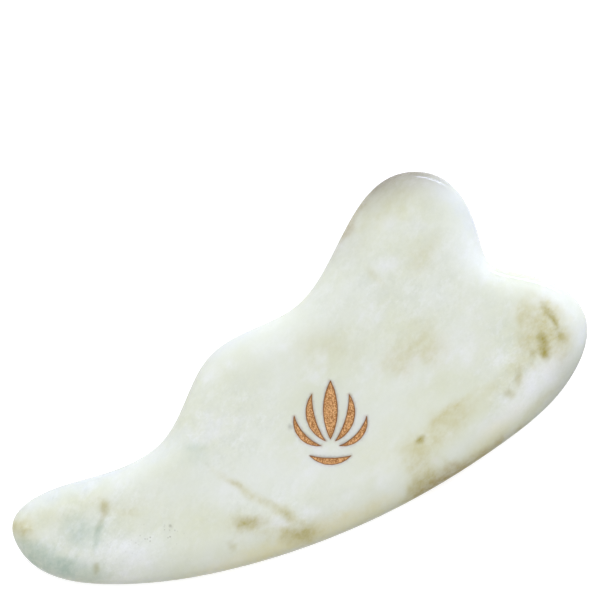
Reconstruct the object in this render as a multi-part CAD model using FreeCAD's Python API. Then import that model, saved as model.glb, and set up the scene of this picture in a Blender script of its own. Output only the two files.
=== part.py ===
"""Gua sha scraper: a flat jade plate with wide round edges and a lotus mark of metallic filler in its face.

Millimetres. The plate lies flat on its back: +Z is up, out of the marked face, +X runs from the tail to the
snout, and +Y points to the crest. The origin is the middle of the plate's box, on the face that it rests on.
"""

import FreeCAD
import Part

import math
import os

Vector = FreeCAD.Vector

# Driving dimensions
LENGTH = 110.0  # from the tip of the tail to the tip of the snout
THICKNESS = 6.5
ROUND_AT_CREST = 6.2  # how far the rounding of the edge reaches in over the flat, on the hand's side
ROUND_AT_BELLY = 8.0  # the same along the belly, the long edge that scrapes
ROUND_AT_TAIL_SHARE = 0.62  # the rounding is this much narrower at the slim tail
MARK_HEIGHT = 15.0  # the lotus and the water line under it
MARK_DEPTH = 0.35  # the engraving
FILL_DEPTH = 0.29  # the filler stays a little below the polished face

# The plate's outline as shares of LENGTH in percent, clockwise from the tip of the tail
OUTLINE = (
    (-49.9, -6.4),  # tail
    (-49.2, -3.8),
    (-41.8, -1.2),
    (-34.3, -1.8),
    (-21.4, -0.6),  # neck
    (-15.7, 4.0),
    (-9.1, 9.4),  # shoulder
    (-0.9, 10.8),
    (6.2, 11.4),  # saddle
    (19.7, 20.8),
    (30.1, 25.4),  # crest
    (36.0, 22.9),
    (38.8, 11.4),
    (39.2, 5.4),  # notch
    (40.7, 4.2),
    (49.3, -3.7),
    (50.0, -7.7),  # snout
    (44.7, -15.5),
    (30.2, -21.6),
    (12.4, -24.8),  # belly
    (-21.5, -23.8),
    (-37.4, -19.4),
)
STATIONS = 120  # places along the outline where the edge's section is set

# The mark, in its own axes: X across it and Y up, from the middle of its water line
MARK_X = 0.028 * LENGTH
MARK_Y = -0.132 * LENGTH
MARK_TURN = -22.0  # degrees from the plate's axes, about +Z
# Each petal runs in a curve from its foot to its tip: node, foot x and y, tip x and y, and how far its two
# sides bow out to the left of the straight line between them. All are shares of MARK_HEIGHT in percent.
PETALS = (
    ("mark_centre_petal", 0.0, 22.0, 0.0, 92.0, -8.5, 8.5),
    ("mark_left_inner_petal", -5.5, 20.0, -22.0, 76.0, 4.5, 14.5),
    ("mark_left_outer_petal", -10.5, 14.5, -43.0, 50.0, 5.5, 13.0),
    ("mark_right_inner_petal", 5.5, 20.0, 22.0, 76.0, -4.5, -14.5),
    ("mark_right_outer_petal", 10.5, 14.5, 43.0, 50.0, -5.5, -13.0),
)
WATER_LINE = (-25.0, 3.0, 25.0, 3.0, -3.0, -11.0)  # laid out as a petal is, from its left end to its right

OUT = "parts"


def closed_curve(points, parameters=None):
    """A smooth periodic curve through points."""
    curve = Part.BSplineCurve()
    if parameters is None:
        curve.interpolate(Points=points, PeriodicFlag=True)
    else:
        curve.interpolate(Points=points, PeriodicFlag=True, Parameters=parameters)
    return curve


def outline_stations():
    """Points on the outline at even steps of its parameter, and the outward normal at each."""
    shape = closed_curve([Vector(x, y, 0) * (LENGTH / 100.0) for x, y in OUTLINE])
    first, last = shape.FirstParameter, shape.LastParameter
    steps = [first + (last - first) * i / STATIONS for i in range(STATIONS)]
    points = [shape.value(u) for u in steps]
    tangents = [shape.tangent(u)[0] for u in steps]
    normals = [Vector(-t.y, t.x, 0).normalize() for t in tangents]
    middle = Vector(
        (max(p.x for p in points) + min(p.x for p in points)) / 2.0,
        (max(p.y for p in points) + min(p.y for p in points)) / 2.0,
        0,
    )
    return [p - middle for p in points], normals


def rounding(point, normal):
    """How far the rounded edge reaches in from the outline: widest at the belly, narrowest at the tail."""
    belly = ((1.0 - normal.y) / 2.0) ** 2
    from_tail = min(1.0, 2.0 * point.x / LENGTH + 1.0)  # 0 at the tip of the tail, 1 from the middle on
    slimming = ROUND_AT_TAIL_SHARE + (1.0 - ROUND_AT_TAIL_SHARE) * math.sin(math.pi / 2.0 * from_tail)
    return (ROUND_AT_CREST + (ROUND_AT_BELLY - ROUND_AT_CREST) * belly) * slimming


def raised(poles, height):
    return [Vector(p.x, p.y, height) for p in poles]


def edge_band(outer, inner, middle_height, face_height):
    """Half of the rounded edge: at each station a quarter ellipse, from the outline to one flat face."""
    quarter = math.sqrt(0.5)  # the weight that makes a three-pole curve a true quarter ellipse
    rows = (
        raised(outer.getPoles(), middle_height),
        raised(outer.getPoles(), face_height),
        raised(inner.getPoles(), face_height),
    )
    poles = [list(column) for column in zip(*rows)]
    weights = [[1.0, quarter, 1.0] for _ in poles]
    band = Part.BSplineSurface()
    band.buildFromPolesMultsKnots(
        poles, outer.getMultiplicities(), [3, 3], outer.getKnots(), [0.0, 1.0],
        True, False, outer.Degree, 2, weights,
    )
    return band.toShape()


def flat_face(inner, height):
    edge = closed_edge(inner, height)
    return Part.Face(Part.Wire([edge]))


def closed_edge(curve, height):
    lifted = curve.copy()
    lifted.translate(Vector(0, 0, height))
    return lifted.toShape()


def blank_plate():
    """The polished plate before it is engraved."""
    points, normals = outline_stations()
    inset = [p - n * rounding(p, n) for p, n in zip(points, normals)]
    steps = [float(i) for i in range(STATIONS + 1)]
    outer, inner = closed_curve(points, steps), closed_curve(inset, steps)
    middle = THICKNESS / 2.0
    faces = [
        edge_band(outer, inner, middle, THICKNESS),
        edge_band(outer, inner, middle, 0.0),
        flat_face(inner, THICKNESS),
        flat_face(inner, 0.0),
    ]
    shell = Part.Shell(faces)
    shell.sewShape()
    plate = Part.Solid(Part.Shell(shell.Faces))
    if plate.Volume < 0:
        plate.reverse()
    return plate


def leaf(foot_x, foot_y, tip_x, tip_y, bow_a, bow_b):
    """A leaf with pointed ends, between two arcs that bow out to the left of the line from foot to tip."""
    share = MARK_HEIGHT / 100.0
    foot, tip = Vector(foot_x, foot_y, 0) * share, Vector(tip_x, tip_y, 0) * share
    along = (tip - foot).normalize()
    left, waist = Vector(-along.y, along.x, 0), (foot + tip) * 0.5
    side_a, side_b = waist + left * (bow_a * share), waist + left * (bow_b * share)
    there, back = Part.Arc(foot, side_a, tip), Part.Arc(tip, side_b, foot)
    return Part.Face(Part.Wire([there.toShape(), back.toShape()]))


def mark_shapes():
    """Each island of the mark as a flat face, by node name."""
    shapes = {name: leaf(*sizes) for name, *sizes in PETALS}
    shapes["mark_water_line"] = leaf(*WATER_LINE)
    for shape in shapes.values():
        shape.rotate(Vector(0, 0, 0), Vector(0, 0, 1), MARK_TURN)
        shape.translate(Vector(MARK_X, MARK_Y, 0))
    return shapes


def block(face, low, high):
    """An upright block of a mark shape between two heights."""
    lifted = face.copy()
    lifted.translate(Vector(0, 0, low))
    return lifted.extrude(Vector(0, 0, high - low))


def write(node, shape):
    if not shape.isValid():
        raise ValueError(node + " isn't a valid solid")
    shape.exportStep(os.path.join(OUT, node + ".step"))
    box = shape.BoundBox
    print(node, "%.2f x %.2f x %.2f mm, %.1f mm3" % (box.XLength, box.YLength, box.ZLength, shape.Volume))


def main():
    os.makedirs(OUT, exist_ok=True)
    shapes = mark_shapes()
    floor = THICKNESS - MARK_DEPTH
    pockets = [block(face, floor, THICKNESS + MARK_DEPTH) for face in shapes.values()]
    write("stone_plate", blank_plate().cut(pockets))
    for node, face in shapes.items():
        write(node, block(face, floor, floor + FILL_DEPTH))


main()
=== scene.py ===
"""Looks of the jade gua sha scraper: a polished, cloudy stone plate with a mark of grainy copper lacquer.

Metres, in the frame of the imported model: the plate lies flat on its back, +Z is out of the marked face, +X
runs to the snout and +Y to the crest. The plate's outline, the width of its rounded edge and the shapes of
the mark all come from the frame. Sizes within the materials are in millimetres.
"""

import math
from collections import namedtuple

import bpy
import numpy as np
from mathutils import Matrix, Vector, kdtree, noise
from mathutils.geometry import delaunay_2d_cdt

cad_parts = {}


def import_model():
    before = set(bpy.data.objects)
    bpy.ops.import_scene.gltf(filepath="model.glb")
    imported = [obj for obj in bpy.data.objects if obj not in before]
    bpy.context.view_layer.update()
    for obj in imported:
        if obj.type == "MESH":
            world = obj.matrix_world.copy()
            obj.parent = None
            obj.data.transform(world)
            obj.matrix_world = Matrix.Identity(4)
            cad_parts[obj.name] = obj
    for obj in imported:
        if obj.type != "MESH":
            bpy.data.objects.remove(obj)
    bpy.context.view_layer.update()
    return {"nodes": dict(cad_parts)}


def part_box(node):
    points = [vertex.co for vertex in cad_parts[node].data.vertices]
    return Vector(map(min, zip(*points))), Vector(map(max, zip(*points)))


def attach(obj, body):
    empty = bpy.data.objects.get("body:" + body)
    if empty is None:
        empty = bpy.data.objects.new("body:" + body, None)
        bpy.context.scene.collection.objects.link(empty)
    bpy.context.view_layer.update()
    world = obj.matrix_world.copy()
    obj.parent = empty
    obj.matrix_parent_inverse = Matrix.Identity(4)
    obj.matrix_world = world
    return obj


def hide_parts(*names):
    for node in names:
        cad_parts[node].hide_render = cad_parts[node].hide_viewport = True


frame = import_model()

MM = 0.001
BODY = "root"
PLATE = "stone_plate"
FILLS = sorted(name for name in frame["nodes"] if name != PLATE)
LOW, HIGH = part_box(PLATE)
FACE = HIGH.z
MIDDLE = (LOW.z + HIGH.z) / 2
HALF = (HIGH.z - LOW.z) / 2
PERCENT = (HIGH.x - LOW.x) / 100  # of the plate's length
SAME_PLACE = 0.001 * MM  # points closer than this are one point
LEAST_TURN = 1e-6  # radians: a line that bends less than this from point to point is straight

# The plate's mesh
EDGE_STEP = 0.3 * MM  # along the outline
EDGE_BLUR = 0.7 * MM  # evens out the short straight sides of the CAD mesh
EDGE_EVEN = 6 * MM  # evens out the width of the rounding, along the outline
EDGE_WITHIN_BEND = 0.9  # the rounding reaches at most this share of a bend's radius, or it would fold there
EDGE_RINGS = 16  # from the outline to the flat of each face
FACE_STEP = 0.42 * MM  # between the points of a face
CLEARANCE = 0.45  # a face's points stay this share of their step away from its edges
SOFT_EDGE = 1.12  # the polished edge runs this much further in than the CAD's quarter ellipse
SOFT_EDGE_POWER = 2.2  # over 2, so that the edge's curve dies away into the flat
SWELL = 0.03 * MM  # height of the waves that hand polishing leaves
SWELL_LENGTH = 14 * MM
LIP = 0.08 * MM  # width and depth of the worn lip round the engraving
CARVING_WOBBLE = 0.035 * MM  # how far the engraving wanders from its drawn outline
CARVING_WOBBLE_LENGTH = 0.7 * MM
FRINGE = 0.11 * MM  # how far the filler has coloured the stone round the engraving

# The filler's mesh
FILL_STEP = 0.11 * MM
FILL_GAP = 0.008 * MM  # keeps the filler's sides off the pocket's walls
FILL_SAG = 0.06 * MM  # how far the middle of the filler sinks below its rim
FILL_RIM = 0.3 * MM  # width of the raised rim that creeps up the wall
GRAIN_HEIGHT = 0.022 * MM
GRAIN_SIZE = 0.2 * MM

# The picture looks straight down, and is turned so that the plate's +X rises to the right
PICTURE_TURN = math.radians(22)
PICTURE_UP = Vector((math.sin(PICTURE_TURN), math.cos(PICTURE_TURN), 0))
PICTURE_RIGHT = Vector((math.cos(PICTURE_TURN), -math.sin(PICTURE_TURN), 0))


# ---------------------------------------------------------------- outlines taken from the frame

def ring_at(node, height):
    """The closed edge of a CAD node at a height, clockwise: the sides there of faces that leave it."""
    mesh = frame["nodes"][node].data
    places, beside = {}, {}
    for face in mesh.polygons:
        corners = [mesh.vertices[i].co for i in face.vertices]
        level = [abs(corner.z - height) < SAME_PLACE for corner in corners]
        if all(level):
            continue
        keys = [tuple(round(value / SAME_PLACE) for value in corner.xy) for corner in corners]
        for i in range(len(corners)):
            j = (i + 1) % len(corners)
            if level[i] and level[j]:
                places[keys[i]] = corners[i].xy
                beside.setdefault(keys[i], set()).add(keys[j])
                beside.setdefault(keys[j], set()).add(keys[i])
    path = [min(beside)]
    while len(path) < len(beside):
        path.append(next(key for key in sorted(beside[path[-1]]) if key not in path[-2:] and key != path[0]))
    points = np.array([places[key] for key in path], float)
    return points if signed_area(points) < 0 else points[::-1]


def signed_area(points):
    """Positive for points that run anticlockwise."""
    following = np.roll(points, -1, axis=0)
    return 0.5 * float(np.sum(points[:, 0] * following[:, 1] - following[:, 0] * points[:, 1]))


def evenly_spaced(points, step):
    """Points at even steps round a closed line."""
    closed = np.vstack([points, points[:1]])
    along = np.concatenate([[0.0], np.cumsum(np.hypot(*np.diff(closed, axis=0).T))])
    places = np.linspace(0.0, along[-1], round(along[-1] / step), endpoint=False)
    return np.column_stack([np.interp(places, along, closed[:, axis]) for axis in (0, 1)])


def blurred(values, reach, step):
    """Values round a closed line, evened out over a distance along it."""
    fade = np.exp(-2.0 * (math.pi * np.fft.fftfreq(len(values), step) * reach) ** 2)
    waves = np.fft.fft(values, axis=0)
    return np.fft.ifft((waves.T * fade).T, axis=0).real


def outward(points):
    """The unit normal at each point of a clockwise closed line, away from what it encloses."""
    tangent = np.roll(points, -1, axis=0) - np.roll(points, 1, axis=0)
    tangent /= np.linalg.norm(tangent, axis=1)[:, None]
    return np.column_stack([-tangent[:, 1], tangent[:, 0]])


def inside(points, ring):
    """Which points lie within a closed line."""
    result = np.zeros(len(points), bool)
    for (ax, ay), (bx, by) in zip(ring, np.roll(ring, -1, axis=0)):
        if ay != by:
            crosses = (points[:, 1] < ay) != (points[:, 1] < by)
            result ^= crosses & (points[:, 0] < ax + (points[:, 1] - ay) / (by - ay) * (bx - ax))
    return result


def nearness(ring):
    """A search tree over the points of one or more lines."""
    tree = kdtree.KDTree(len(ring))
    for i, (x, y) in enumerate(ring):
        tree.insert((x, y, 0), i)
    tree.balance()
    return tree


def distances(points, tree):
    return np.array([tree.find((x, y, 0))[2] for x, y in points])


def smooth(share):
    """A share from 0 to 1, eased in and out."""
    return share * share * (3.0 - 2.0 * share)


def cloudy(place, size, octaves, calm=0.8):
    """Noise of about this size with finer noise on it, each octave twice as fine as the one before."""
    return noise.fractal(place / size, calm, 2.0, octaves)


def wander(points, amount, length):
    """Moves points along their normals by smooth noise."""
    shift = np.array([noise.noise(Vector((x, y, 0)) / length) for x, y in points])
    return points + outward(points) * (amount * shift)[:, None]


def bend_radius(points, step):
    """The radius of each bend of a clockwise closed line, very large where it is straight or hollow."""
    normals = outward(points)
    following = np.roll(normals, -1, axis=0)
    turn = normals[:, 1] * following[:, 0] - normals[:, 0] * following[:, 1]
    return step / np.maximum(turn, LEAST_TURN)


def rounding_width(outline):
    """How far the polished edge reaches in from each point of the outline: a little more than in the CAD."""
    level = [v.co.xy for v in frame["nodes"][PLATE].data.vertices if abs(v.co.z - FACE) < SAME_PLACE]
    width = blurred(distances(outline, nearness(np.array(level, float))), EDGE_EVEN, EDGE_STEP) * SOFT_EDGE
    widest = bend_radius(outline, EDGE_STEP) * EDGE_WITHIN_BEND
    return blurred(np.minimum(width, widest), EDGE_BLUR, EDGE_STEP)


# ---------------------------------------------------------------- meshes

class Skin:
    """Vertices and faces that grow patch by patch, and are welded where the patches meet."""

    def __init__(self):
        self.points = []
        self.faces = []

    def strip(self, first, second):
        """Quads between two clockwise lines, facing out of them where the first is the upper one."""
        start = len(self.points)
        count = len(first)
        self.points += [*map(tuple, first), *map(tuple, second)]
        for i in range(count):
            j = (i + 1) % count
            self.faces.append((start + i, start + j, start + count + j, start + count + i))

    def patch(self, flat, triangles, heights, up):
        start = len(self.points)
        self.points += [(x, y, z) for (x, y), z in zip(flat, heights)]
        for a, b, c in triangles:
            self.faces.append((start + a, start + b, start + c) if up else (start + c, start + b, start + a))

    def piece(self, name, material):
        mesh = bpy.data.meshes.new(name)
        mesh.from_pydata(self.points, [], self.faces)
        piece = bpy.data.objects.new(name, mesh)
        bpy.context.scene.collection.objects.link(piece)
        weld = piece.modifiers.new("weld", "WELD")
        weld.merge_threshold = SAME_PLACE
        bake_modifiers(piece)
        piece.data.shade_smooth()
        piece.data.materials.append(material)
        return piece


def bake_modifiers(piece):
    """Gives a piece the mesh that its modifiers make, and removes them."""
    evaluated = piece.evaluated_get(bpy.context.evaluated_depsgraph_get())
    mesh = bpy.data.meshes.new_from_object(evaluated)
    old = piece.data
    piece.modifiers.clear()
    piece.data = mesh
    bpy.data.meshes.remove(old)
    mesh.name = piece.name


def grid_within(ring, step, trees):
    """Points of a triangular grid within a closed line, clear of the lines in the trees."""
    low, high = ring.min(axis=0), ring.max(axis=0)
    rows = np.arange(low[1], high[1], step * math.sqrt(0.75))
    columns = np.arange(low[0], high[0], step)
    grid = np.array([(x + step / 2 * (i % 2), y) for i, y in enumerate(rows) for x in columns])
    grid = grid[inside(grid, ring)]
    for tree in trees:
        grid = grid[distances(grid, tree) > step * CLEARANCE]
    return grid


def triangulated(rings, spare):
    """A flat triangle mesh that keeps the sides of the rings: its points and its anticlockwise triangles."""
    points = [Vector(p) for ring in rings for p in ring] + [Vector(p) for p in spare]
    sides, start = [], 0
    for ring in rings:
        sides += [(start + i, start + (i + 1) % len(ring)) for i in range(len(ring))]
        start += len(ring)
    unit = 1.0 / MM
    hull, close = 0, 1e-7  # all the triangles are kept, and points this close, in millimetres, become one
    flat, _, triangles, *_ = delaunay_2d_cdt([p * unit for p in points], sides, [], hull, close)
    return np.array([p / unit for p in flat]), np.array(triangles)


def centres(flat, triangles):
    return flat[triangles].mean(axis=1)


def at_height(ring, height):
    return np.column_stack([ring, np.full(len(ring), height)])


def edge_section(outline, normals, width, sign, share):
    """A ring of the polished edge: share 0 is the outline at mid height, share 1 the start of the flat."""
    rise = math.sin(share * math.pi / 2)
    reach = 1.0 - math.cos(share * math.pi / 2) ** (2.0 / SOFT_EDGE_POWER)
    ring = outline - normals * (width * reach)[:, None]
    return at_height(ring, MIDDLE + sign * HALF * rise)


def plate_piece(material):
    outline = blurred(evenly_spaced(ring_at(PLATE, MIDDLE), EDGE_STEP), EDGE_BLUR, EDGE_STEP)
    normals = outward(outline)
    width = rounding_width(outline)
    skin = Skin()
    for sign in (1, -1):
        rings = [edge_section(outline, normals, width, sign, i / EDGE_RINGS) for i in range(EDGE_RINGS + 1)]
        for lower, upper in zip(rings, rings[1:]):
            skin.strip(*((upper, lower) if sign > 0 else (lower, upper)))
        border = rings[-1][:, :2]
        pockets = [carved_ring(name) for name in FILLS] if sign > 0 else []
        lay_face(skin, border, pockets, MIDDLE + sign * HALF, sign > 0)
    piece = skin.piece("stone", material)
    polish(piece)
    stain(piece)
    return piece


def carved_ring(node):
    """The outline of one island of the engraving, a little uneven."""
    ring = evenly_spaced(ring_at(node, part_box(node)[1].z), FILL_STEP)
    return wander(ring, CARVING_WOBBLE, CARVING_WOBBLE_LENGTH)


def lay_face(skin, border, pockets, height, up):
    """One flat of the plate, with a worn lip, a wall and a floor for each pocket."""
    lips = [pocket + outward(pocket) * LIP for pocket in pockets]
    trees = [nearness(ring) for ring in [border, *lips]]
    spare = grid_within(border, FACE_STEP, trees)
    flat, triangles = triangulated([border, *lips], spare)
    middles = centres(flat, triangles)
    open_face = inside(middles, border)
    for lip in lips:
        open_face &= ~inside(middles, lip)
    skin.patch(flat, triangles[open_face], np.full(len(flat), height), up)
    for name, pocket, lip in zip(FILLS, pockets, lips):
        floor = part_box(name)[0].z
        worn = at_height(pocket, height - LIP)
        skin.strip(worn, at_height(lip, height))
        skin.strip(at_height(pocket, floor), worn)
        flat, triangles = triangulated([pocket], np.empty((0, 2)))
        skin.patch(flat, triangles[inside(centres(flat, triangles), pocket)], np.full(len(flat), floor), up)


def polish(piece):
    """Adds the slow waves that hand polishing leaves, which die away towards the edge."""
    for vertex in piece.data.vertices:
        side = (vertex.co.z - MIDDLE) / HALF
        vertex.co.z += SWELL * side * cloudy(vertex.co, SWELL_LENGTH, 2)
    piece.data.update()


def fill_piece(node, material):
    """The filler of one island of the mark: grainy on top, and creeping up the wall of its pocket."""
    low, high = (corner.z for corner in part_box(node))
    ring = carved_ring(node)
    ring -= outward(ring) * FILL_GAP
    tree = nearness(ring)
    spare = grid_within(ring, FILL_STEP, [tree])
    flat, triangles = triangulated([ring], spare)
    triangles = triangles[inside(centres(flat, triangles), ring)]
    sag = np.clip(distances(flat, tree) / FILL_RIM, 0, 1)
    grain = np.array([cloudy(Vector((x, y, 0)), GRAIN_SIZE, 3, 0.6) for x, y in flat])
    heights = high - FILL_SAG * smooth(sag) + GRAIN_HEIGHT * grain * sag
    skin = Skin()
    skin.patch(flat, triangles, heights, True)
    skin.strip(at_height(ring, high), at_height(ring, low + FILL_GAP))
    skin.patch(flat, triangles, np.full(len(flat), low + FILL_GAP), False)
    piece = skin.piece(node.replace("mark_", "fill_"), material)
    record(piece, "rim", nearer(distances([v.co.xy for v in piece.data.vertices], tree), FILL_RIM))
    return piece


# ---------------------------------------------------------------- materials

class Nodes:
    """The node tree of a material or a world, where each method adds a node and gives back its output."""

    def __init__(self, owner):
        owner.use_nodes = True
        self.owner = owner
        self.tree = owner.node_tree
        self.tree.nodes.clear()
        self.noises = 0

    def add(self, kind, inputs, **settings):
        node = self.tree.nodes.new(kind)
        for key, value in settings.items():
            setattr(node, key, value)
        for key, value in inputs.items():
            if isinstance(value, bpy.types.NodeSocket):
                self.tree.links.new(value, node.inputs[key])
            else:
                node.inputs[key].default_value = value
        return node

    def place(self):
        """The shaded point in the plate's frame, in millimetres."""
        place = self.add("ShaderNodeTexCoord", {}).outputs["Object"]
        return self.vector("SCALE", place, Scale=1 / MM)

    def vector(self, operation, first, second=(0, 0, 0), **inputs):
        node = self.add("ShaderNodeVectorMath", {0: first, 1: second, **inputs}, operation=operation)
        return node.outputs["Value" if operation == "DOT_PRODUCT" else "Vector"]

    def maths(self, operation, first, second=0.0, third=0.0):
        return self.add("ShaderNodeMath", {0: first, 1: second, 2: third}, operation=operation).outputs[0]

    def ramp(self, value, start, end, low=0.0, high=1.0):
        """Goes smoothly from low to high as value goes from start to end, and stays within them."""
        inputs = {"Value": value, "From Min": start, "From Max": end, "To Min": low, "To Max": high}
        node = self.add("ShaderNodeMapRange", inputs, interpolation_type="SMOOTHSTEP", clamp=False)
        return node.outputs["Result"]

    def noise(self, place, size, detail, rough):
        """Cloudy noise of about this size in millimetres, unlike the tree's other noises."""
        self.noises += 1
        inputs = {"Vector": place, "W": self.noises, "Scale": 1 / size, "Detail": detail, "Roughness": rough}
        return self.add("ShaderNodeTexNoise", inputs, noise_dimensions="4D").outputs["Fac"]

    def mix(self, share, first, second):
        """A mix of two colours: the first where share is 0, the second where it is 1."""
        return self.add("ShaderNodeMix", {0: share, 6: first, 7: second}, data_type="RGBA").outputs[2]

    def bump(self, relief, height, strength):
        inputs = {"Height": relief, "Distance": height, "Strength": strength}
        return self.add("ShaderNodeBump", inputs).outputs["Normal"]

    def attribute(self, name):
        return self.add("ShaderNodeAttribute", {}, attribute_name=name).outputs["Fac"]

    def background(self, colour, strength):
        return self.add("ShaderNodeBackground", {"Color": colour, "Strength": strength}).outputs[0]

    def finish(self, **inputs):
        shader = self.add("ShaderNodeBsdfPrincipled", {key.replace("_", " "): v for key, v in inputs.items()})
        self.add("ShaderNodeOutputMaterial", {"Surface": shader.outputs["BSDF"]})
        return self.owner


def material_nodes(name):
    return Nodes(bpy.data.materials.new(name))


def tint(red, green, blue):
    """A colour given as seen on a screen, 0 to 255, as the linear values that nodes take."""
    def linear(value):
        value /= 255
        return value / 12.92 if value <= 0.04045 else ((value + 0.055) / 1.055) ** 2.4
    return (linear(red), linear(green), linear(blue), 1.0)
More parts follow.
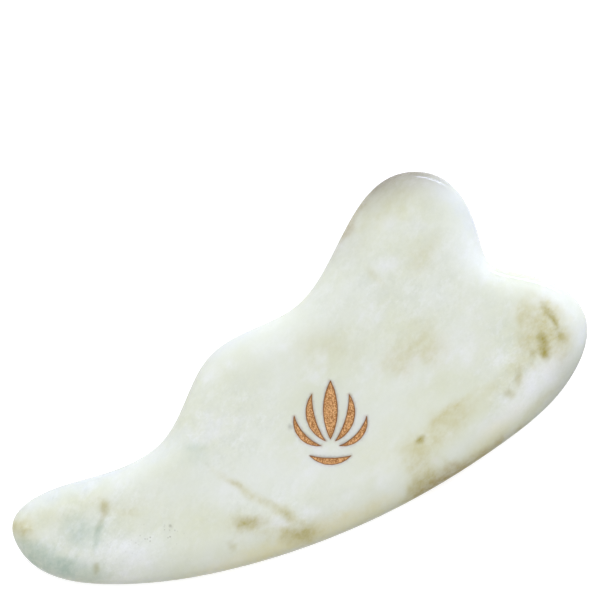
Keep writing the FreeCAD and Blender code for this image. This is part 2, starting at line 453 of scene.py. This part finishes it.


# ---------------------------------------------------------------- the stone's stains and painted light

# Where the stone is stained, and where shade, highlights and light are painted on it, by kind: the x, y,
# length and width of each cloud in percent of the plate's length, its turn in degrees, and its strength
STAINS = {
    "mottled": (
        # tail
        (-37, -11, 34, 22, -15, 1.0),
        # belly, towards the tail
        (-8, -19, 24, 12, -20, 0.8),
        # snout
        (38, -10, 26, 18, 45, 0.9),
        # neck, shoulder and middle
        (24, 8, 36, 34, 0, 0.6), (-12, -2, 22, 16, 0, 0.8),
    ),
    "wash": (
        # tail
        (-29, -10.5, 16, 8, -8, 0.45), (-41, -5.5, 12, 6, -10, 0.5),
        # belly, towards the tail
        (-21, -15.5, 13, 9, 0, 0.5), (-14.5, -22.5, 14, 4.5, -10, 0.6),
        # belly, towards the snout
        (20, -17, 12, 8, 15, 0.6), (10, -15, 13, 9, 10, 0.45), (26, -21, 26, 4, 17, 0.5),
        # crest
        (27, 13, 15, 14, 30, 0.3), (22, 17.5, 13, 8, 45, 0.25), (28, 22, 16, 9, 20, 0.7),
        # neck, shoulder and middle
        (22, 1, 18, 10, -10, 0.35), (33, 2, 10, 8, 0, 0.1), (9.5, 3.5, 12, 8, -25, 0.15),
        (20, -10, 18, 8, 10, 0.3),
    ),
    "frost": (
        # tail
        (-33.5, -15, 10, 6, -25, 0.5),
        # belly, towards the tail
        (-2, -12.5, 24, 8, -8, 0.2), (-8.5, -20, 4.5, 3, -20, 0.7), (-3, -20.5, 8, 3, -50, 0.4),
        # belly, towards the snout
        (18.5, -20, 1.8, 1.4, 0, 0.7), (31, -18, 15, 4.5, 18, 0.4),
        # snout
        (39.5, -13.8, 17, 5.5, 30, 0.65),
        # crest
        (23, 12.5, 5.5, 3.8, -10, 0.45), (26, 18.5, 4, 3, 0, 0.4),
        # neck, shoulder and middle
        (-12.5, -1, 9, 7, 0, 0.3), (30, -5.5, 11, 9, -30, 0.3), (-15, -2, 6, 4, 0, 0.2),
        (21.5, -3.5, 2.6, 1.6, 20, 0.5), (33, -9, 8, 3, 40, 0.3),
    ),
    # painted highlights: cool white along the upper rims
    "painted_highlight": (
        # snout
        (43, -1.5, 15, 8, -35, 0.2), (46.5, -5, 9, 4, -65, 0.3), (48.4, -10.7, 7, 2.6, 58, 0.4),
        # crest
        (37, 9, 10, 8, -81, 0.35),
        # neck, shoulder and middle
        (-12, 6, 13, 8, 38, 0.15), (2, 8, 20, 10, 8, 0.15), (-22, -2.2, 18, 6, -3, 0.2),
    ),
    # painted shade: a cool, darker band along the upper rims, for the dim room that they reflect
    "painted_cool_shade": ((-34, -2, 36, 3.8, 2, 0.42), (38.5, 16, 17, 6, -68, 0.4), (-4, 10, 26, 3, 12, 0.2)),
    # partly the stone's warm tone along the belly, partly painted light that lifts the belly's edge
    "cream_and_painted_light": ((-6, -24.3, 46, 5, -1, 0.6), (29, -20.4, 16, 5, 24, 0.25)),
    "khaki": (
        # tail
        (-44, -4.4, 8, 3, -20, 0.08), (-47.8, -5.4, 5, 4.4, -60, 0.55), (-33, -6.4, 14, 3.4, -25, 0.1),
        (-31, -9, 5, 2, -30, 0.2), (-34, -6, 4, 5, 30, 0.3),
        # belly, towards the tail
        (-10.5, -14.5, 18, 2.2, -53, 0.46), (-6.8, -19, 6, 2.8, -60, 0.5), (-5, -23, 14, 5, -4, 0.42),
        (-10.5, -21.2, 8, 3, -30, 0.4), (-13.3, -18.2, 10, 5, -15, 0.3),
        # belly, towards the snout
        (23.5, -15, 15, 5.5, 20, 0.5), (16, -18, 8, 7, 30, 0.5), (5.5, -23.5, 9, 4, 4, 0.15),
        (12.5, -24.6, 12, 2.6, 2, 0.25), (16, -21.4, 8, 6.5, 20, 0.38), (17, -22.3, 10, 3, 12, 0.4),
        (18.5, -15, 8, 4, 20, 0.2), (26, -22.3, 18, 3.4, 18, 0.3),
        # snout
        (42.5, -6.8, 13, 9, 85, 0.7), (40.3, -4, 6, 4, 75, 0.3), (44.5, -9, 6, 5, 60, 0.35),
        # the first cloud on the next line, at 45.3, -10.6, is painted shade: the dark card's reflection in
        # the snout's rim
        (45.3, -10.6, 5, 3.5, 60, 0.3), (40, -8, 8, 6, 60, 0.45), (37, -10.5, 10, 4.5, 55, 0.3),
        (38, -18.5, 13, 2.5, 28, 0.3), (45.8, -5, 7, 4, -60, 0.25),
        # crest
        (20.5, 11.2, 5, 1.8, -65, 0.22), (28.5, 11, 6, 6, 0, 0.22), (28.5, 22.3, 15, 8, 20, 0.1),
        (31.5, 13, 5, 2.4, 50, 0.14),
        # neck, shoulder and middle
        (31.5, -12.6, 14, 3, 28, 0.18), (23.5, -13.4, 11, 1.5, 20, 0.45), (19, -3, 8, 6, 0, 0.4),
        (24, -2.3, 9, 7, -70, 0.38), (9.5, 3.5, 12, 7, -25, 0.18),
    ),
    "olive": (
        # tail
        (-34.3, -6.9, 4.2, 1.6, 55, 0.5), (-36, -9.3, 4.5, 1.1, 55, 0.3), (-39.3, -15.6, 2.6, 1.3, 74, 0.5),
        (-48.5, -4.9, 2.6, 2.6, -60, 0.15),
        # belly, towards the tail
        (-13.2, -18, 5.6, 2.3, -14, 0.8), (-17.5, -20.4, 2.4, 1.6, -60, 0.25),
        (-12.8, -11.4, 3.6, 1.2, -44, 0.25), (-8.6, -16.3, 3.6, 1.2, -58, 0.12),
        (-7, -18.8, 3.8, 1.6, -62, 0.38), (-6, -23.2, 7, 3.6, -10, 0.55),
        # belly, towards the snout
        (33.5, -14.3, 1.8, 1.4, 0, 0.5), (17.6, -15.9, 2.4, 1.5, 20, 1.0), (15.6, -22.6, 7, 2.2, 14, 0.35),
        # snout
        (41.9, -8.4, 3.6, 1.9, -85, 1.0), (41.3, -10.2, 3.4, 2.1, 80, 1.0),
        (44.4, -5.6, 7.5, 1.3, -82, 0.8), (44.8, -9.2, 3.5, 2.2, -70, 0.3), (39.4, -9.8, 2, 1.4, 60, 0.6),
        (36.1, -12.2, 3.4, 1.4, 60, 0.4),
    ),
    "brown": (
        # belly, towards the snout
        (18.6, -23.9, 13, 4.4, 12, 0.64), (26, -22.9, 18, 2.6, 14, 0.45),
        # crest
        (22.5, 22.4, 16, 2, 40, 0.45),
    ),
    "lagoon": (
        # tail
        (-46.5, -11.4, 13, 5.6, -52, 0.6), (-42.2, -14.7, 11, 5, -35, 0.45), (-38.8, -9, 8, 6, -35, 0.4),
        (-36.6, -10.4, 5, 1.5, 58, 0.5),
        # neck, shoulder and middle
        (-17, -3.5, 5, 1.2, -22, 0.14), (-17, -4.5, 6.4, 4.5, 0, 0.15),
    ),
    "pitted": (
        # tail
        (-28.3, -13.9, 6, 5, 0, 0.55), (-26, -15.5, 6, 4, 0, 0.4), (-34, -15, 16, 10, -20, 0.08),
        # snout
        (44.8, -9, 4, 4, 0, 0.5),
    ),
    "speck": ((-25.5, -13.6, 0.6, 0.6, 0, 0.5), (-1.2, -5.9, 0.8, 0.8, 0, 0.35)),
    # painted shade on the rounded edge, strongest at the outline; on the snout it stands for the dark card's
    # reflection
    "shade": (
        # snout
        (42.5, -15.5, 11, 6, 38, 0.16),
        # crest
        (31, 25.5, 19, 16, -12, 1.0), (21, 20, 15, 10, 45, 0.25),
        # neck, shoulder and middle
        (-14.4, 5.8, 10, 3, 40, 0.16),
    ),
}
# Each kind's tint, and how much finer noise breaks it up. The copper is the filler's, round the engraving.
TINTS = {
    "copper": (tint(180, 134, 86), 0.2),
    "wash": (tint(214, 216, 190), 0.3),
    "frost": (tint(231, 232, 233), 0.35),
    # painted highlight
    "painted_highlight": (tint(240, 243, 247), 0.15),
    # painted shade
    "painted_cool_shade": (tint(203, 209, 219), 0.15),
    # partly the stone's tone, partly painted light
    "cream_and_painted_light": (tint(227, 220, 174), 0.2),
    "khaki": (tint(198, 192, 143), 0.35),
    "olive": (tint(168, 157, 80), 0.22),
    "brown": (tint(170, 148, 78), 0.3),
    "lagoon": (tint(168, 187, 173), 0.3),
    "speck": (tint(125, 122, 102), 0.0),
    # painted shade
    "shade": (tint(128, 120, 106), 0.05),
}
# How wide each kind's edge fades, as a share of its radius, and how far noise tears that edge
EDGES = {
    "mottled": (1.3, 0.3),
    "wash": (1.3, 0.2),
    "frost": (1.3, 0.25),
    "painted_highlight": (1.3, 0.2),
    "painted_cool_shade": (1.3, 0.2),
    "cream_and_painted_light": (1.3, 0.2),
    "khaki": (1.3, 0.25),
    "olive": (1.2, 0.2),
    "brown": (1.2, 0.25),
    "lagoon": (1.2, 0.25),
    "pitted": (1.2, 0.2),
    "speck": (0.9, 0.1),
    "shade": (1.0, 0.0),
}
STAIN_REACH = 1.3  # a stain starts at this share of its radius
STAIN_BEND = 0.6 * MM  # how far the clouds are bent out of their ellipses
STAIN_BEND_SIZE = 4.0 * MM
STAIN_BEND_SEED = 2  # noise_vector takes the time of day as its seed if it isn't given one
STAIN_TEAR_SIZE = 2.6 * MM
STAIN_LEAN = Vector((0.35, -0.25))  # how far the clouds drift sideways on their way down through the plate


def stain(piece):
    """Stains the stone and paints shade and highlights on it: each point gets its share of each kind, in an
    attribute that the material reads.
    """
    spots = [vertex.co for vertex in piece.data.vertices]
    noise.seed_set(STAIN_BEND_SEED)
    bends = [noise.noise_vector(s / STAIN_BEND_SIZE).xy * STAIN_BEND for s in spots]
    bent = np.array([s.xy + STAIN_LEAN * (FACE - s.z) + bend for s, bend in zip(spots, bends)])
    tears = np.array([cloudy(s, STAIN_TEAR_SIZE, 4) for s in spots])
    height = np.clip([abs(s.z - MIDDLE) / HALF for s in spots], 0, 1)
    slope = np.arccos(height) / (math.pi / 2)  # 0 on the flats, 1 at the outline
    for kind, stains in STAINS.items():
        soft, torn = EDGES[kind]
        share = stained(bent, STAIN_REACH + torn * tears, soft, stains)
        # the painted shade keeps to the rounded edge and is darkest at the outline
        if kind == "shade":
            share *= slope
        record(piece, kind, share)
    engraving = nearness(np.vstack([carved_ring(name) for name in FILLS]))
    marked_side = [s.z > MIDDLE for s in spots]
    record(piece, "copper", nearer(distances([s.xy for s in spots], engraving), FRINGE) * marked_side)


def record(piece, name, values):
    """Keeps a value for each of a piece's points in an attribute that materials can read."""
    piece.data.attributes.new(name, "FLOAT", "POINT").data.foreach_set("value", values)


def nearer(distance, reach):
    """1 where the distance is nothing, down to 0 where it comes to reach."""
    return np.clip(1.0 - distance / reach, 0.0, 1.0)


def stained(places, reach, soft, stains):
    """How stained each place is: a stain fades in over soft of its radius, from reach of it inwards."""
    clear = np.ones(len(places))
    for x, y, length, width, turn, strength in stains:
        angle = math.radians(turn)
        along = np.array([math.cos(angle), math.sin(angle)])
        offset = (places / PERCENT - (x, y)) * 2.0
        radius = np.hypot(offset @ along / length, offset @ (-along[1], along[0]) / width)
        depth = np.clip((reach - radius) / soft, 0.0, 1.0)
        clear *= 1.0 - strength * smooth(depth)
    return 1.0 - clear


# The clouds that run all through the stone, each over the ones before: the size of the noise, its detail and
# roughness, the values between which the cloud comes in, its strength in plain stone, how much it gains in
# mottled stone, and its tint
Cloud = namedtuple("Cloud", "size detail rough start full plain mottled shade")
CLOUDS = (
    Cloud(11.0, 3.0, 0.5, start=0.4, full=0.7, plain=1.0, mottled=0.0, shade=tint(216, 219, 200)),
    Cloud(4.5, 5.0, 0.6, start=0.48, full=0.72, plain=1.0, mottled=0.0, shade=tint(226, 228, 222)),
    Cloud(2.2, 5.0, 0.68, start=0.45, full=0.6, plain=0.05, mottled=0.42, shade=tint(203, 208, 192)),
    Cloud(1.6, 5.0, 0.68, start=0.49, full=0.62, plain=0.05, mottled=0.42, shade=tint(235, 237, 237)),
)
PLAIN_JADE = tint(221, 224, 213)
CLOUD_TURN, CLOUD_STRETCH = math.radians(30), 1.6  # the clouds are drawn out in this direction
BREAKS_SIZE = 1.4  # of the noise that breaks up the stains
PIT_SPACING = 0.8
PIT_EDGE = (0.26, 0.13)  # where a pit starts and is darkest, as shares of the spacing
STONE_GRAIN_SIZE = 0.6
STONE_GRAIN, STONE_GRAIN_IN_MOTTLED = 0.015, 0.03  # how far the grain lightens and darkens the stone
POLISH_SIZE, POLISH = 3.0, (0.08, 0.15)  # the roughness where the stone is polished best and worst
RIPPLE_SIZE, RIPPLE_HEIGHT, RIPPLE_STRENGTH = 0.5, 0.05 * MM, 0.02
JADE_IOR = 1.56
JADE_GLOW = 1.8 * MM  # how far light spreads in the stone
JADE_GLOW_TINT = (1.0, 1.0, 0.84)


def jade():
    """Pale cloudy serpentine: milky, a little translucent, with khaki stains, painted shade and highlights
    near its edges, and a high polish.
    """
    n = material_nodes("jade")
    place = n.place()
    drawn_out = {"Vector": place, "Rotation": (0, 0, CLOUD_TURN), "Scale": (CLOUD_STRETCH, 1, 1)}
    flow = n.add("ShaderNodeMapping", drawn_out, vector_type="TEXTURE").outputs[0]
    mottled = n.attribute("mottled")
    colour = PLAIN_JADE
    for cloud in CLOUDS:
        share = n.ramp(n.noise(flow, cloud.size, cloud.detail, cloud.rough), cloud.start, cloud.full)
        strength = n.maths("MULTIPLY_ADD", mottled, cloud.mottled, cloud.plain)
        colour = n.mix(n.maths("MULTIPLY", share, strength), colour, cloud.shade)
    breaks = n.noise(flow, BREAKS_SIZE, 6.0, 0.7)
    for kind, (shade, broken) in TINTS.items():
        patchy = n.ramp(breaks, 0.36, 0.64, 1.0 - broken, 1.0 + broken)
        colour = n.mix(n.maths("MULTIPLY", n.attribute(kind), patchy), colour, shade)
    cells = n.add("ShaderNodeTexVoronoi", {"Vector": place, "Scale": 1 / PIT_SPACING}).outputs
    most_cells = n.ramp(cells["Color"], 0.3, 0.4)
    pits = n.maths("MULTIPLY", n.ramp(cells["Distance"], *PIT_EDGE), most_cells)
    colour = n.mix(n.maths("MULTIPLY", pits, n.attribute("pitted")), colour, TINTS["speck"][0])
    grain = n.ramp(n.noise(place, STONE_GRAIN_SIZE, 4.0, 0.7), 0.2, 0.8, -1.0, 1.0)
    contrast = n.maths("MULTIPLY_ADD", mottled, STONE_GRAIN_IN_MOTTLED, STONE_GRAIN)
    colour = n.vector("SCALE", colour, Scale=n.maths("MULTIPLY_ADD", grain, contrast, 1.0))
    rough = n.ramp(n.noise(place, POLISH_SIZE, 4.0, 0.6), 0.3, 0.7, *POLISH)
    ripple = n.noise(place, RIPPLE_SIZE, 3.0, 0.6)
    bump = n.bump(ripple, RIPPLE_HEIGHT, RIPPLE_STRENGTH)
    return n.finish(
        Base_Color=colour, Roughness=rough, IOR=JADE_IOR, Subsurface_Weight=1.0, Subsurface_Scale=JADE_GLOW,
        Subsurface_Radius=JADE_GLOW_TINT, Normal=bump,
    )


FLAKE_SIZE = 0.17
DULL_FLAKE, BRIGHT_FLAKE = tint(158, 106, 58), tint(226, 178, 122)
FLAKE_HEIGHT, FLAKE_STRENGTH = 0.03 * MM, 0.4
FLAKE_ROUGHNESS = (0.28, 0.55)
LACQUER, LACQUER_PATCH_SIZE = tint(172, 122, 70), 0.8  # where the lacquer hides some of the flakes
LACQUER_RIM = tint(124, 76, 36)
LACQUER_METAL = 0.6


def copper():
    """Copper lacquer full of metal flakes, some bright and some dull, with a dark rim against the stone."""
    n = material_nodes("copper_fill")
    place = n.place()
    flakes = n.add("ShaderNodeTexVoronoi", {"Vector": place, "Scale": 1 / FLAKE_SIZE}).outputs["Color"]
    colour = n.mix(n.ramp(flakes, 0.25, 0.8), DULL_FLAKE, BRIGHT_FLAKE)
    hidden = n.ramp(n.noise(place, LACQUER_PATCH_SIZE, 3.0, 0.6), 0.4, 0.7, 0.0, 0.4)
    colour = n.mix(hidden, colour, LACQUER)
    colour = n.mix(n.ramp(n.attribute("rim"), 0.25, 0.95, 0.0, 0.9), colour, LACQUER_RIM)
    rough = n.ramp(flakes, 0.3, 0.7, *FLAKE_ROUGHNESS)
    bump = n.bump(flakes, FLAKE_HEIGHT, FLAKE_STRENGTH)
    return n.finish(Base_Color=colour, Metallic=LACQUER_METAL, Roughness=rough, Normal=bump)


# ---------------------------------------------------------------- floor, light and camera

WHITE = (1.0, 1.0, 1.0, 1.0)
FLOOR_SIZE = 3.0
FLOOR_PAINT, FLOOR_PAINT_PATCH = (tint(249, 249, 249), tint(252, 252, 252)), 40.0
FLOOR_ROUGHNESS = 0.9
FLOOR_GLOW = 0.35  # lifts the floor to the white of the picture

# The studio's sides are turns in degrees, anticlockwise from the right of the picture. The edge of a panel is
# two cosines, of the angles from its middle where it starts and where it is full. Heights are sines of the
# angle above the horizon, and are pairs too: where a light starts to change, and where it has changed.
ROOM_LIGHT = 1.03
ROOM_SIDE, ROOM_LEAN = 50.0, 0.25  # the room is this share brighter on its side at this turn
ROOM_LOW = 0.91  # the share of the room's light that its lower half gives
ROOM_LOW_TOP = (-0.6, -0.05)
CARD_SIDE, CARD_EDGE = -34.0, (0.5, 0.92)
CARD_SHADE = 0.93  # how much of the room's light the black card takes away
WINDOW_SIDE, WINDOW_EDGE, WINDOW_LIGHT = 58.0, (0.35, 0.85), 1.2
WINDOW_LOW = 0.3  # the share of its light that the lower part of the window gives
WINDOW_LOW_TOP = (0.35, 0.6)
WINDOW_TINT = (0.85, 0.94, 1.34, 1.0)
LAMP_SIDE, LAMP_EDGE, LAMP_LIGHT = 70.0, (0.92, 0.965), 5.5  # it draws a bright line round the crest
LAMP_BOTTOM, LAMP_TOP = (0.05, 0.1), (0.29, 0.24)
HORIZON = (-0.1, 0.1)

LENS = 150.0  # mm, on a sensor 36 mm wide
SENSOR = 36.0
NEAREST_SEEN, FARTHEST_SEEN = 0.01, 10.0
PICTURE_WIDTH = 107.6 * MM  # what the picture takes in, at the height of the outline
PICTURE_MIDDLE = Vector((8.6 * MM, 13.6 * MM, MIDDLE))  # the camera is straight above this place


def floor():
    """A plain white floor that can't be seen from below, where it would hide the plate's back."""
    n = material_nodes("floor")
    patches = n.noise(n.place(), FLOOR_PAINT_PATCH, 2.0, 0.5)
    paint = n.add("ShaderNodeBsdfPrincipled", {
        "Base Color": n.mix(patches, *FLOOR_PAINT), "Roughness": FLOOR_ROUGHNESS,
        "Emission Color": WHITE, "Emission Strength": FLOOR_GLOW,
    }).outputs["BSDF"]
    clear = n.add("ShaderNodeBsdfTransparent", {}).outputs["BSDF"]
    below = n.add("ShaderNodeNewGeometry", {}).outputs["Backfacing"]
    surface = n.add("ShaderNodeMixShader", {0: below, 1: paint, 2: clear}).outputs[0]
    n.add("ShaderNodeOutputMaterial", {"Surface": surface})
    half = FLOOR_SIZE / 2
    mesh = bpy.data.meshes.new("floor")
    corners = [(-half, -half, 0), (half, -half, 0), (half, half, 0), (-half, half, 0)]
    mesh.from_pydata(corners, [], [(0, 1, 2, 3)])
    mesh.materials.append(n.owner)
    piece = bpy.data.objects.new("floor", mesh)
    piece.location.z = LOW.z - SWELL
    piece.visible_diffuse = False
    piece.visible_glossy = False
    bpy.context.scene.collection.objects.link(piece)


def side(turn):
    """The level direction to a side of the studio."""
    angle = math.radians(turn)
    return PICTURE_RIGHT * math.cos(angle) + PICTURE_UP * math.sin(angle)


def light():
    """A soft studio: a pale room with a cool window, a low lamp, and a black card across from them."""
    world = bpy.data.worlds.new("studio")
    bpy.context.scene.world = world
    n = Nodes(world)
    direction = n.add("ShaderNodeTexCoord", {}).outputs["Generated"]
    up = n.vector("DOT_PRODUCT", direction, (0, 0, 1))

    def panel(turn, edge, strength):
        """The strength of a soft-edged panel at a side of the studio, in each direction."""
        facing = n.vector("DOT_PRODUCT", direction, side(turn))
        return n.ramp(facing, *edge, 0.0, strength)

    lean = n.vector("DOT_PRODUCT", direction, side(ROOM_SIDE) * ROOM_LEAN)
    room = n.maths("SUBTRACT", n.maths("ADD", lean, 1.0), panel(CARD_SIDE, CARD_EDGE, CARD_SHADE))
    room = n.maths("MULTIPLY", room, n.ramp(up, *ROOM_LOW_TOP, ROOM_LIGHT * ROOM_LOW, ROOM_LIGHT))
    window = panel(WINDOW_SIDE, WINDOW_EDGE, WINDOW_LIGHT)
    window = n.maths("MULTIPLY", window, n.ramp(up, *WINDOW_LOW_TOP, WINDOW_LOW, 1.0))
    lamp = panel(LAMP_SIDE, LAMP_EDGE, LAMP_LIGHT)
    strip = n.maths("MULTIPLY", n.ramp(up, *LAMP_BOTTOM), n.ramp(up, *LAMP_TOP))
    cool = n.maths("MULTIPLY", n.ramp(up, *HORIZON), n.maths("MULTIPLY_ADD", lamp, strip, window))
    lights = n.add("ShaderNodeAddShader", {
        0: n.background(WHITE, room),
        1: n.background(WINDOW_TINT, cool),
    }).outputs[0]
    seen = n.add("ShaderNodeLightPath", {}).outputs["Is Camera Ray"]
    mix = n.add("ShaderNodeMixShader", {0: seen, 1: lights, 2: n.background(WHITE, 1.0)})
    n.add("ShaderNodeOutputWorld", {"Surface": mix.outputs[0]})


def camera():
    data = bpy.data.cameras.new("camera")
    data.lens = LENS
    data.sensor_width = SENSOR
    data.clip_start = NEAREST_SEEN
    data.clip_end = FARTHEST_SEEN
    eye = bpy.data.objects.new("camera", data)
    eye.location = PICTURE_MIDDLE + Vector((0, 0, PICTURE_WIDTH * LENS / SENSOR))
    eye.rotation_euler = (0, 0, -PICTURE_TURN)
    bpy.context.scene.collection.objects.link(eye)
    bpy.context.scene.camera = eye


# ---------------------------------------------------------------- the whole scene

def main():
    stone = plate_piece(jade())
    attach(stone, BODY)
    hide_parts(PLATE)
    metal = copper()
    for node in FILLS:
        fill = fill_piece(node, metal)
        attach(fill, BODY)
        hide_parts(node)
    floor()
    light()
    camera()
    bpy.context.scene.view_settings.view_transform = "Standard"


main()
